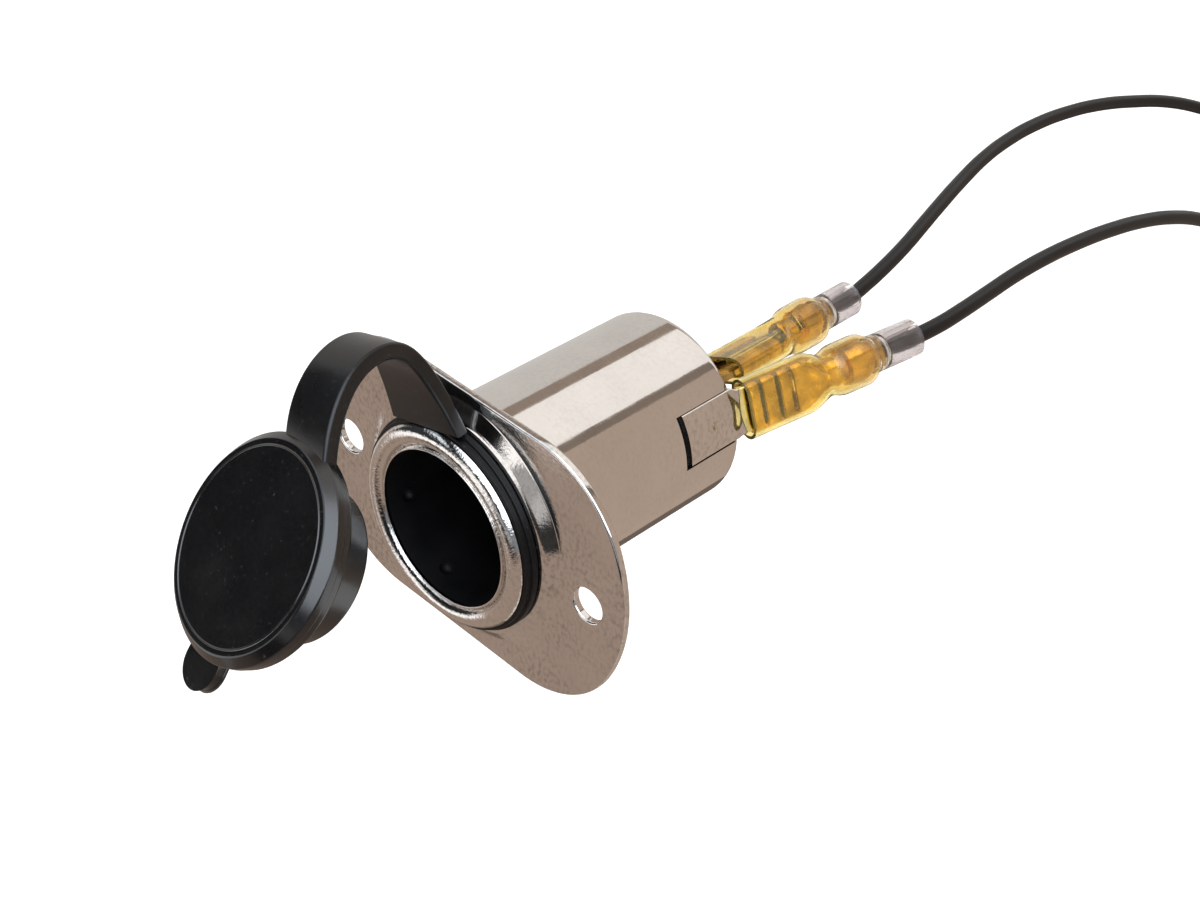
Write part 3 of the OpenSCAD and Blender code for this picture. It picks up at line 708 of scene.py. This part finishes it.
cap_profile = rounded([
    (0, CAP_FACE_Y, 0), (CAP_FACE_R - GROOVE_IN, CAP_FACE_Y, 0.06),
    (CAP_FACE_R, CAP_FACE_Y + GROOVE_DEEP, 0.08),
    (CAP_FACE_R + GROOVE_OUT, CAP_FACE_Y, 0.1), (CAP_R - 1.1, CAP_FACE_Y, 0.5),
    (CAP_R, CAP_FACE_Y + 1.15, 0.45),
    (CAP_R, CAP_BACK - 1.25, 0.1), (CAP_R - RIM_STEP, CAP_BACK - 1.1, 0.1),
    (CAP_R - RIM_STEP, CAP_BACK, 0.4),
    (PLUG_R, CAP_BACK, 0.25), (PLUG_TIP_R, PLUG_END, 0.6), (PLUG_R - PLUG_WALL, PLUG_END, 0.4),
    (PLUG_R - PLUG_WALL, CAP_BACK + CAP_WEB, 0.4), (0, CAP_BACK + CAP_WEB, 0),
])


def solid_lathe(name, profile, material, steps=200):
    """Turns an outline that starts and ends on the axis, with one point at each end."""
    inner = profile[1:-1]
    size = len(inner)
    points = [(r * sin(2 * pi * k / steps), y, r * cos(2 * pi * k / steps))
              for k in range(steps) for r, y in inner]
    first, last = len(points), len(points) + 1
    points += [(0, profile[0][1], 0), (0, profile[-1][1], 0)]
    faces = []
    for k in range(steps):
        after = (k + 1) % steps
        for i in range(size - 1):
            faces.append((k * size + i, after * size + i, after * size + i + 1, k * size + i + 1))
        faces.append((first, after * size, k * size))
        faces.append((last, k * size + size - 1, after * size + size - 1))
    return piece(name, points, faces, material)


def tab_outline():
    """The thumb tab from under the disc down to its round tip."""
    half, tip = TAB_W / 2, TAB_W / 2 - TAB_REACH
    arc = [(half * cos(radians(a)), tip + half * sin(radians(a))) for a in range(0, -181, -9)]
    return [(half, -PLUG_R - 1.0), *arc, (-half, -PLUG_R - 1.0)]


rubber = rubber_finish("cap_rubber", 0.85, 0.16, 0.26)
cap = solid_lathe("cap_disc", cap_profile, rubber)
tab_front = CAP_BACK - TAB_LIFT - TAB_T
tab_points, tab_faces = slab(tab_outline(), tab_front, tab_front + TAB_T, TAB_EDGE)
tab = piece("tab", turned(tab_points, TAB_SKEW), tab_faces, rubber)
cut(cap, tab, "UNION")
moved = in_strap_plane(swing([v.co / MM for v in cap.data.vertices], CAP_OPEN))
for vertex, point in zip(cap.data.vertices, moved):
    vertex.co = Vector(point) * MM
cap.data.update()
cap.visible_glossy = False
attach(cap, "cap")
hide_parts("cap", "cap_plug")

# Strap
# A band of the same rubber, 2 mm thick, that rises from the ring, loops forward and comes down
# on the cap's rim. It is narrow at the middle and flares into ring and cap, and it is shaped for the cap
# standing open.
STRAP_W = 7.6
STRAP_ROOT_W, STRAP_END_W = 9.6, 8.2
STRAP_T = 2.0
STRAP_DRIFT = (-1.1, 2.7)
STRAP_RISE, STRAP_FALL = 13.5, 11.7
STRAP_LEAN, STRAP_FORWARD = -1.5, -4.9
STRAP_PULL = (2.34, 1.31)
STRAP_EDGE = 0.42
STRAP_ROOT = (RING_BACK - 0.95, RING_R - 1.3)
STRAP_HOLD = CAP_R - 1.0
STRAP_SINK = 2.1
STRAP_STEPS = 72
ROOT_SHARE = 0.3
ROOT_FLARE = 3.2
SEAT_SHARE = 0.2
ROOT_THINNER, THIN_SHARE = 0.16, 0.12


def swung(y, z):
    return swing([(0, y, z)], CAP_OPEN)[0][1:]


def strap_point(t):
    """The strap's middle line in its own plane, as (y, z), at a share t of its length."""
    a = Vector(STRAP_ROOT)
    b = a + Vector((STRAP_LEAN, STRAP_RISE))
    c = Vector(swung(CAP_FACE_Y + STRAP_SINK + STRAP_FORWARD, STRAP_HOLD + STRAP_FALL))
    d = Vector(swung(CAP_FACE_Y + STRAP_SINK, STRAP_HOLD))
    u = 1 - t
    share = (u ** 3, 3 * t * u * u * STRAP_PULL[0], 3 * t * t * u * STRAP_PULL[1], t ** 3)
    return (share[0] * a + share[1] * b + share[2] * c + share[3] * d) / sum(share)


def strap_ring(t):
    """One cross-section of the strap, a flat bar with rounded edges.

    Near its root it widens to the right, and both feet follow the round of what they grow from.
    """
    here = strap_point(t)
    along = (strap_point(t + 0.005) - strap_point(t - 0.005)).normalized()
    across = Vector((-along.y, along.x))
    flare_w = STRAP_ROOT_W if t < 0.5 else STRAP_END_W
    half = (STRAP_W + (flare_w - STRAP_W) * min(1.0, abs(2 * t - 1)) ** 3) / 2
    right = half + ROOT_FLARE * max(0.0, 1 - t / ROOT_SHARE) ** 2.5
    seat = max(0.0, 1 - t / SEAT_SHARE)
    rest = max(0.0, 1 - (1 - t) / SEAT_SHARE)
    thick = STRAP_T / 2 * (1 - ROOT_THINNER * max(0.0, 1 - t / THIN_SHARE))
    drift = STRAP_DRIFT[0] + (STRAP_DRIFT[1] - STRAP_DRIFT[0]) * t
    section = rounded([
        (-half, -thick, STRAP_EDGE), (right, -thick, STRAP_EDGE),
        (right, thick, STRAP_EDGE), (-half, thick, STRAP_EDGE)], 4)
    inwards = Vector(swung(0, 0)) - Vector(swung(0, 1))
    ring = []
    for x, h in section:
        sink = (RING_R - sqrt(RING_R ** 2 - (drift + x) ** 2)) * seat
        down = inwards * (CAP_R - sqrt(CAP_R ** 2 - (drift + x) ** 2)) * rest
        ring.append((drift + x, here.x + across.x * h + down.x, here.y + across.y * h + down.y - sink))
    return ring


strap_rings = [strap_ring(0.02 + 0.99 * k / STRAP_STEPS) for k in range(STRAP_STEPS + 1)]
strap_points, strap_faces = skin(strap_rings, round_trip=False)
strap_rubber = rubber_finish("strap_rubber", 0.5, 0.26, 0.38)
strap = piece("strap", in_strap_plane(strap_points), strap_faces, strap_rubber, radians(60))
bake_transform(strap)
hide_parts("cap_strap")

# Crimp terminals
# Receptacles folded from 0.4 mm brass strip: a floor with three cross slots, two rolled edges that
# grip the blade, a neck, wire wings and insulation wings closed round the lead.
SHEET_T = 0.38
RECEPT_W = 7.1
RECEPT_T = 2.6
RECEPT_FRONT = 0.6
RECEPT_SLOTS = [(1.9, 2.7), (4.5, 5.4), (6.8, 7.6)]
RECEPT_TIES = (1.4, 3.6, 6.2)
SLOT_CELLS = 8
GROUND_MOUTH = 1.1
SHOULDER = 8.8
CRIMP_FRONT = 12.6
# Each station along the crimps: its y, its width and how far round its wings are closed
CRIMPS = [
    (12.7, 3.6, 96), (12.8, 3.7, 180), (14.7, 3.7, 180), (14.8, 3.4, 88), (16.2, 3.4, 88),
    (16.3, 5.0, 180), (18.2, 5.4, 180), (19.2, 4.9, 180), (20.2, 4.1, 180), (21.9, 3.9, 180),
]
NECK_W, NECK_T = 3.6, 3.4
NECK_WRAP = 96
EDGE_GAP = 1.6
STRANDS_FROM, CORE_FROM, CORE_TO = 11.6, 15.2, 22.4
CRIMPED_D = 1.5
CENTRE_TURN = -25.0
CENTRE_MOUTH = 47.1


def on_ground_blade(points):
    """Puts a connector, drawn along +Y from its mouth, on the ground blade."""
    c, s = cos(radians(GROUND_LEAN)), sin(radians(GROUND_LEAN))
    leaned = [(x, GROUND_MOUTH + y, z) for x, y, z in points]
    leaned = [
        (x, BARREL_END + y * c - z * s, BARREL_R - BLADE_T / 2 + y * s + z * c)
        for x, y, z in leaned
    ]
    return turned(leaned, GROUND_AT)


def on_centre_blade(points):
    return turned([(x, y + CENTRE_MOUTH, z) for x, y, z in points], CENTRE_TURN)


def folded_section(width, height, open_w, wrap=180):
    """The middle line of a folded sheet: floor on top (+Z), edges rolled down and back inwards.

    A wrap under 180 degrees leaves the edges standing, as in an open channel.
    """
    roll = height / 2
    flat = width / 2 - roll
    half = [(flat * k / 6, roll) for k in range(7)]
    for k in range(1, 7):
        a = radians(wrap) * k / 6
        half.append((flat + roll * sin(a), roll * cos(a)))
    x, z = half[-1]
    inner = max(open_w / 2, 0.05)
    for k in range(1, 4):
        half.append((x + (inner - x) * k / 3, z) if wrap == 180 else (x, z - 0.02 * k))
    return [(-x, z) for x, z in reversed(half[1:])] + half


def sheet(sections, holes):
    """Points and faces of a bent sheet over stations of (y, section), without the named cells."""
    size = len(sections[0][1])
    points = [(x, y, z) for y, section in sections for x, z in section]
    faces = []
    for k in range(len(sections) - 1):
        for i in range(size - 1):
            if (k, i) not in holes:
                faces.append((k * size + i, (k + 1) * size + i, (k + 1) * size + i + 1, k * size + i + 1))
    return points, faces


def terminal(name, place, material):
    """One receptacle with its neck and its two pairs of wings."""
    mid_w, mid_t = RECEPT_W - SHEET_T, RECEPT_T - SHEET_T
    levels = sorted({RECEPT_FRONT, SHOULDER, *[y for pair in RECEPT_SLOTS for y in pair], *RECEPT_TIES})
    box_section = folded_section(mid_w, mid_t, EDGE_GAP)
    sections = [(y, box_section) for y in levels]
    size = len(box_section)
    middle = size // 2
    holes = {
        (k, i)
        for k, y in enumerate(levels) if any(abs(y - pair[0]) < 1e-6 for pair in RECEPT_SLOTS)
        for i in range(middle - SLOT_CELLS, middle + SLOT_CELLS)
    }
    neck_steps = 8
    for k in range(1, neck_steps + 1):
        t = k / neck_steps
        ease = t * t * (3 - 2 * t)
        width = mid_w + (NECK_W - mid_w) * ease
        height = mid_t + (NECK_T - mid_t) * ease
        y = SHOULDER + (CRIMP_FRONT - SHOULDER) * t
        sections.append((y, folded_section(width, height, 0, NECK_WRAP)))
    for y, width, wrap in CRIMPS:
        sections.append((y, folded_section(width, width * 0.97, 0.1, wrap)))
    points, faces = sheet(sections, holes)
    obj = piece(name, place(points), faces, material, radians(50))
    for modifier in list(obj.modifiers):
        obj.modifiers.remove(modifier)
    thick = obj.modifiers.new("sheet", "SOLIDIFY")
    thick.thickness = SHEET_T * MM
    thick.offset = 0
    broken = obj.modifiers.new("broken_edges", "BEVEL")
    broken.width = 0.09 * MM
    broken.segments = 2
    broken.limit_method = "ANGLE"
    broken.angle_limit = radians(50)
    settle(obj)
    obj.data.polygons.foreach_set("use_smooth", [True] * len(obj.data.polygons))
    shade(obj, radians(50))
    return obj


def rod(name, place, y0, y1, diameter, material):
    """A round rod along the connector's middle."""
    rings = [
        [(diameter / 2 * sin(pi * k / 16), y, diameter / 2 * cos(pi * k / 16)) for k in range(32)]
        for y in (y0, y1)
    ]
    points, faces = skin(rings, round_trip=False)
    return piece(name, place(points), faces, material)


def seam_outwards(points):
    """Puts the connector on the centre blade the other way up, with its rolled edges outwards."""
    return on_centre_blade([(-x, y, -z) for x, y, z in points])


terminal_brass = brass_finish("terminal_brass", (0.86, 0.58, 0.06), (0.42, 0.25, 0.02), (0.2, 0.34))
for side, place in (("ground", on_ground_blade), ("positive", seam_outwards)):
    receptacle = terminal(side + "_receptacle", place, terminal_brass)
    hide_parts(side + "_terminal")
    strands = rod(side + "_crimped_strands", place, STRANDS_FROM, CORE_FROM, CRIMPED_D, tinned)
    core = rod(side + "_crimped_wire", place, CORE_FROM, CORE_TO, WIRE_D, insulation)
    for part in (receptacle, strands, core):
        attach(part, "socket")

# Insulating sleeves
# Clear amber nylon, moulded as one tube: a flat mouth over the receptacle, a funnel, a bulge over
# the crimp and a thick round tail, in which the wire looks wider than it is.
SLEEVE_OUTSIDE = [
    (0.0, 8.4, 4.0), (3.0, 8.4, 4.0), (6.0, 8.4, 4.0), (9.4, 8.4, 4.0), (10.6, 8.1, 4.2), (11.6, 7.2, 4.9),
    (12.8, 6.05, 5.85), (13.8, 6.2, 6.2), (15.2, 7.1, 7.1), (17.3, 7.2, 7.2), (19.4, 7.15, 7.15),
    (20.4, 6.1, 6.1), (21.1, 5.3, 5.3), (24.0, 5.2, 5.2), (28.5, 5.2, 5.2),
]
SLEEVE_INSIDE = [
    (28.5, 2.9, 2.9), (23.4, 2.9, 2.9), (22.4, 4.2, 4.2), (21.1, 4.4, 4.4), (19.6, 6.2, 6.2),
    (17.3, 6.3, 6.3), (15.2, 6.2, 6.2), (13.8, 5.3, 5.3), (12.8, 5.1, 4.95), (11.6, 6.3, 4.0),
    (10.6, 7.2, 3.3), (9.4, 7.5, 3.1), (6.0, 7.5, 3.1), (3.0, 7.5, 3.1), (0.0, 7.5, 3.1),
]


def nylon_finish():
    """Amber nylon, deepest round the receptacle and a cloudy grey in the tail."""
    material, nodes, shader, link = new_material("amber_nylon")
    shader.inputs["IOR"].default_value = 1.5
    shader.inputs["Transmission Weight"].default_value = 0.95
    along = nodes.new("ShaderNodeAttribute")
    along.attribute_name = "along"
    tint = ramp(nodes, link, along.outputs["Fac"], [
        (0.0, (0.94, 0.78, 0.33)), (0.45, (0.93, 0.76, 0.33)), (0.72, (0.9, 0.72, 0.42)),
        (0.82, (0.62, 0.56, 0.55))])
    clouds = ramp(nodes, link, noise(nodes, link, 3, 4), [(0.35, 0.8), (0.6, 1.0)])
    mixed = nodes.new("ShaderNodeMix")
    mixed.data_type = "RGBA"
    mixed.blend_type = "MULTIPLY"
    mixed.inputs["Factor"].default_value = 1.0
    link(tint, mixed.inputs["A"])
    link(clouds, mixed.inputs["B"])
    link(mixed.outputs["Result"], shader.inputs["Base Color"])
    haze = noise(nodes, link, 6, 3)
    link(ramp(nodes, link, haze, [(0.3, 0.015), (0.7, 0.06)]), shader.inputs["Roughness"])
    bump(nodes, link, shader, noise(nodes, link, 1.6, 3), 0.03, 0.5)
    return material


def oval(y, width, height, steps=56):
    """A flat oval with round sides across Y: a circle where width and height agree."""
    flat, r = abs(width - height) / 2, min(width, height) / 2
    ring = []
    for k in range(steps):
        a = 2 * pi * (k + 0.5) / steps
        ring.append(((flat if cos(a) > 0 else -flat) + r * cos(a), y, r * sin(a)))
    return ring


def smooth_stations(stations, steps=4):
    """Extra stations on a smooth curve through the given ones."""
    out = []
    for i in range(len(stations) - 1):
        a, b = stations[max(i - 1, 0)], stations[i]
        c, d = stations[i + 1], stations[min(i + 2, len(stations) - 1)]
        for k in range(steps):
            t = k / steps
            out.append(tuple(
                0.5 * (2 * q + (r - p) * t + (2 * p - 5 * q + 4 * r - s) * t * t
                       + (3 * q - p - 3 * r + s) * t ** 3)
                for p, q, r, s in zip(a, b, c, d)))
    out.append(stations[-1])
    return out


nylon = nylon_finish()
for side, place in (("ground", on_ground_blade), ("positive", on_centre_blade)):
    walls = [oval(*s) for s in smooth_stations(SLEEVE_OUTSIDE) + smooth_stations(SLEEVE_INSIDE)]
    sleeve_points, sleeve_faces = skin(walls)
    sleeve = piece(side + "_nylon", place(sleeve_points), sleeve_faces, nylon, radians(50))
    along = sleeve.data.attributes.new("along", "FLOAT", "POINT")
    along.data.foreach_set("value", [y / SLEEVE_OUTSIDE[-1][0] for _, y, _ in sleeve_points])
    sleeve.visible_shadow = False
    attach(sleeve, "socket")
    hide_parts(side + "_sleeve")

# Studio
# A pale floor below the socket, soft lamps, and broad cards that only reflections show: a white
# one overhead with a darker strip on each side, a pale one to the left and a tan one to the right.
FLOOR_DROP = 3.0
FLOOR_SIZE = 4000.0
CARD_REACH = 800.0
TENT_TO = 2600.0
FRONT = -1500.0
TABLE_GAP = 1.0
# How bright the plated steel shows a card of level one
METAL = 0.835
# Each card round the barrel: where it starts and ends, from the top towards +X, its level and tint
BACK_TENT = [
    (-135, -45, 0.5, 0), (-45, -30, 0.2, 1), (-30, 25, 0.8, 0), (25, 35, 0.15, 1),
    (35, 170, 0.3, 1), (170, 225, 0.1, 1),
]
FRONT_TENT = [
    (-98, -55, 0.03), (-55, -12, 0.9), (-12, 38, 2.6), (38, 70, 2.4), (70, 98, 0.2),
]
TENT_FROM = -1150.0
# Each card across the front: where it starts and ends across and upwards, and its level
FRONT_WALL = [
    (-900, -60, -60, 330, 1.0), (-60, 380, -60, 260, 0.33), (380, 900, -60, 260, 0.03),
    (-900, -400, 330, 560, 0.65), (-400, 900, 330, 560, 0.03), (-60, 900, 260, 330, 0.03),
    (-900, 900, 560, 900, 0.03),
]
# Each card on the table in front: where it starts and ends across and along, and its level
SWEEP = [
    (-900, -50, -1500, -78, 1.0), (-50, -25, -1500, -78, 0.48), (-25, 100, -1500, -300, 0.2),
    (-25, 900, -300, -128, 0.03), (100, 900, -1500, -300, 0.45),
]
TABLE = (0.36, 0.275, 0.225)
# Each part of the tan table: where it starts and ends across and along
TABLE_PARTS = [(-900, -25, -78, 0), (-25, 900, -128, 0)]
# A dark flag low in front of the plate, which darkens the plate beside the boss
FLAG = [(-15, -16, 4), (-5.5, -16, 4), (1.5, -16, -9), (-15, -16, -9)]
WHITE = (1.02, 1.0, 0.99)
PALE = (1.05, 1.0, 0.95)
COOL = (0.92, 1.0, 1.1)
WARM = (1.28, 1.0, 0.81)


def card_finish(name, colour, level):
    """Plain emission that stands for a lit card."""
    material = bpy.data.materials.new(name)
    material.use_nodes = True
    nodes = material.node_tree.nodes
    nodes.clear()
    glow = nodes.new("ShaderNodeEmission")
    out = nodes.new("ShaderNodeOutputMaterial")
    glow.inputs["Color"].default_value = (*colour, 1)
    glow.inputs["Strength"].default_value = level
    material.node_tree.links.new(glow.outputs["Emission"], out.inputs["Surface"])
    return material


def card(name, corners, colour, level, through=False):
    """A flat card that shows only in reflections, or through the nylon too."""
    obj = piece(name, corners, [(0, 1, 2, 3)], card_finish(name, colour, level))
    obj.visible_camera = False
    obj.visible_diffuse = False
    obj.visible_transmission = through
    obj.visible_shadow = False
    return obj


def flat_card(name, x0, x1, y0, y1, colour, level):
    """A card that lies on the table."""
    card(name, [(x0, y0, table_z), (x1, y0, table_z), (x1, y1, table_z), (x0, y1, table_z)], colour, level)


def tent_card(name, low, high, y0, y1, colour, level):
    """A long card beside the barrel, or on the table where that is nearer."""
    (x0, z0), (x1, z1) = [
        (sin(radians(a)) * reach, cos(radians(a)) * reach)
        for a in (low, high)
        for reach in [min(CARD_REACH, table_z / min(cos(radians(a)), -1e-3))]
    ]
    corners = [(x0, y0, z0), (x0, y1, z0), (x1, y1, z1), (x1, y0, z1)]
    card(name, corners, colour, level, through=max(abs(low), abs(high)) <= 80)


floor_z = cad_box[0][2] / MM - FLOOR_DROP
table_z = floor_z + TABLE_GAP
for index, (low, high, level, warm) in enumerate(BACK_TENT):
    tent_card(f"back_card_{index}", low, high, 0, TENT_TO, WARM if warm else PALE, level / METAL)
for index, (low, high, level) in enumerate(FRONT_TENT):
    tent_card(f"front_card_{index}", low, high, TENT_FROM, 0, COOL, level / METAL)
for index, (x0, x1, z0, z1, level) in enumerate(FRONT_WALL):
    card(f"wall_card_{index}", [(x0, FRONT, z0), (x1, FRONT, z0), (x1, FRONT, z1), (x0, FRONT, z1)],
         WHITE, level / METAL)
for index, (x0, x1, y0, y1, level) in enumerate(SWEEP):
    flat_card(f"sweep_card_{index}", x0, x1, y0, y1, WHITE, level / METAL)
for index, (x0, x1, y0, y1) in enumerate(TABLE_PARTS):
    flat_card(f"table_card_{index}", x0, x1, y0, y1, TABLE, 1.0)
card("flag", FLAG, WHITE, 0.015)
card("side_card", [
    (-790, -570, -10), (-790, -470, -10), (-790, -470, 70), (-790, -570, 70)], COOL, 1.6)


def lamp(name, at, size, watts, aim=(0, 10, 0)):
    """A soft square lamp that the camera and the metal don't see."""
    data = bpy.data.lights.new(name, "AREA")
    data.size = size * MM
    data.energy = watts
    obj = bpy.data.objects.new(name, data)
    bpy.context.collection.objects.link(obj)
    obj.location = Vector(at) * MM
    obj.rotation_euler = (Vector(aim) - Vector(at)).to_track_quat("-Z", "Y").to_euler()
    obj.visible_camera = False
    obj.visible_glossy = False
    return obj


lamp("overhead", (20, 120, 700), 600, 2.0)
lamp("front_left", (-500, -450, 350), 500, 1.5)
lamp("right", (600, -200, 300), 500, 1.3)


def floor_finish():
    """White paper: it takes the object's shadow, and the rays that see it find it near white."""
    material = bpy.data.materials.new("paper")
    material.use_nodes = True
    nodes = material.node_tree.nodes
    nodes.clear()
    link = material.node_tree.links.new
    paper = nodes.new("ShaderNodeBsdfDiffuse")
    paper.inputs["Color"].default_value = (0.9, 0.9, 0.9, 1)
    glow = nodes.new("ShaderNodeEmission")
    seen = seen_rays(nodes, link)
    lift = nodes.new("ShaderNodeMath")
    lift.operation = "MULTIPLY"
    lift.inputs[1].default_value = 0.55
    both = nodes.new("ShaderNodeAddShader")
    out = nodes.new("ShaderNodeOutputMaterial")
    link(seen, lift.inputs[0])
    link(lift.outputs["Value"], glow.inputs["Strength"])
    link(paper.outputs["BSDF"], both.inputs[0])
    link(glow.outputs["Emission"], both.inputs[1])
    link(both.outputs["Shader"], out.inputs["Surface"])
    return material


def seen_rays(nodes, link):
    """One for rays from the camera and those that metal and clear plastic send on, else nought."""
    path = nodes.new("ShaderNodeLightPath")
    first = nodes.new("ShaderNodeMath")
    first.operation = "MAXIMUM"
    second = nodes.new("ShaderNodeMath")
    second.operation = "MAXIMUM"
    link(path.outputs["Is Camera Ray"], first.inputs[0])
    link(path.outputs["Is Glossy Ray"], first.inputs[1])
    link(first.outputs["Value"], second.inputs[0])
    link(path.outputs["Is Transmission Ray"], second.inputs[1])
    return second.outputs["Value"]


half = FLOOR_SIZE / 2
floor = piece("paper_floor", [
    (-half, -half, floor_z), (half, -half, floor_z), (half, half, floor_z), (-half, half, floor_z),
], [(0, 1, 2, 3)], floor_finish())

world = bpy.data.worlds.new("studio")
world.use_nodes = True
bpy.context.scene.world = world
world_nodes = world.node_tree.nodes
world_link = world.node_tree.links.new
background = world_nodes["Background"]
background.inputs["Color"].default_value = (1, 1, 1, 1)
level = world_nodes.new("ShaderNodeMapRange")
level.inputs["To Min"].default_value = 0.4
level.inputs["To Max"].default_value = 1.0
world_link(seen_rays(world_nodes, world_link), level.inputs["Value"])
world_link(level.outputs["Result"], background.inputs["Strength"])
